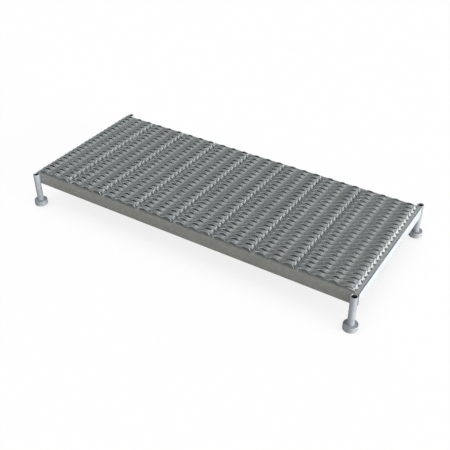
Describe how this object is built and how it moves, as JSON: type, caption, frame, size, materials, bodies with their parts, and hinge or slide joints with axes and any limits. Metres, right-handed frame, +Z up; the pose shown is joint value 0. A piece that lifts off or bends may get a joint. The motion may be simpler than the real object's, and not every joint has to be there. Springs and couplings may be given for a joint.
{
  "type": "work platform bench",
  "caption": "Low steel work platform: serrated diamond-pattern grating deck in an angle frame on tubular legs with levelling disc feet.",
  "frame": {"origin": "on the floor under the middle of the platform, at the bottom centre of its box", "axes": "+X along the platform's length towards the end with the wide plank, +Y to the back, +Z up"},
  "size_m": [1.5284, 0.701, 0.1642],
  "materials": {
    "galvanised_grating": "galvanised, matt",
    "galvanised_rail": "galvanised, satin",
    "galvanised_tube": "galvanised, satin",
    "galvanised_weld": "galvanised over a weld bead",
    "zinc_stud": "zinc plated, bright",
    "spring_steel": "plain spring steel",
    "cast_foot": "galvanised casting"
  },
  "bodies": {
    "frame": {"plank_1": "galvanised_grating", "plank_2": "galvanised_grating", "plank_3": "galvanised_grating", "plank_4": "galvanised_grating", "plank_5": "galvanised_grating", "plank_6": "galvanised_grating", "plank_7": "galvanised_grating", "plank_8": "galvanised_grating", "front_rail": "galvanised_rail", "back_rail": "galvanised_rail", "left_end_rail": "galvanised_rail", "right_end_rail": "galvanised_rail", "leg_tube_front_right": "galvanised_tube", "leg_tube_front_left": "galvanised_tube", "leg_tube_back_right": "galvanised_tube", "leg_tube_back_left": "galvanised_tube", "leg_insert_front_right": "zinc_stud", "leg_insert_front_left": "zinc_stud", "leg_insert_back_right": "zinc_stud", "leg_insert_back_left": "zinc_stud", "leg_welds": "galvanised_weld", "corner_welds": "galvanised_weld", "plank_welds": "galvanised_weld"},
    "stud_front_right": {"foot_stud_front_right": "zinc_stud", "foot_clip_front_right": "spring_steel"},
    "disc_front_right": {"foot_disc_front_right": "cast_foot"},
    "stud_front_left": {"foot_stud_front_left": "zinc_stud", "foot_clip_front_left": "spring_steel"},
    "disc_front_left": {"foot_disc_front_left": "cast_foot"},
    "stud_back_right": {"foot_stud_back_right": "zinc_stud", "foot_clip_back_right": "spring_steel"},
    "disc_back_right": {"foot_disc_back_right": "cast_foot"},
    "stud_back_left": {"foot_stud_back_left": "zinc_stud", "foot_clip_back_left": "spring_steel"},
    "disc_back_left": {"foot_disc_back_left": "cast_foot"}
  },
  "joints": [
    {"name": "foot_lift_front_right", "type": "slide", "parent": "frame", "child": "stud_front_right", "axis": [0, 0, -1], "range_m": [0, 0.035]},
    {"name": "foot_swivel_front_right", "type": "hinge", "parent": "stud_front_right", "child": "disc_front_right", "pos_m": [0.73661, -0.32291, 0.0222], "axis": [0, 0, 1], "continuous": true},
    {"name": "foot_lift_front_left", "type": "slide", "parent": "frame", "child": "stud_front_left", "axis": [0, 0, -1], "range_m": [0, 0.035]},
    {"name": "foot_swivel_front_left", "type": "hinge", "parent": "stud_front_left", "child": "disc_front_left", "pos_m": [-0.73661, -0.32291, 0.0222], "axis": [0, 0, 1], "continuous": true},
    {"name": "foot_lift_back_right", "type": "slide", "parent": "frame", "child": "stud_back_right", "axis": [0, 0, -1], "range_m": [0, 0.035]},
    {"name": "foot_swivel_back_right", "type": "hinge", "parent": "stud_back_right", "child": "disc_back_right", "pos_m": [0.73661, 0.32291, 0.0222], "axis": [0, 0, 1], "continuous": true},
    {"name": "foot_lift_back_left", "type": "slide", "parent": "frame", "child": "stud_back_left", "axis": [0, 0, -1], "range_m": [0, 0.035]},
    {"name": "foot_swivel_back_left", "type": "hinge", "parent": "stud_back_left", "child": "disc_back_left", "pos_m": [-0.73661, 0.32291, 0.0222], "axis": [0, 0, 1], "continuous": true}
  ]
}
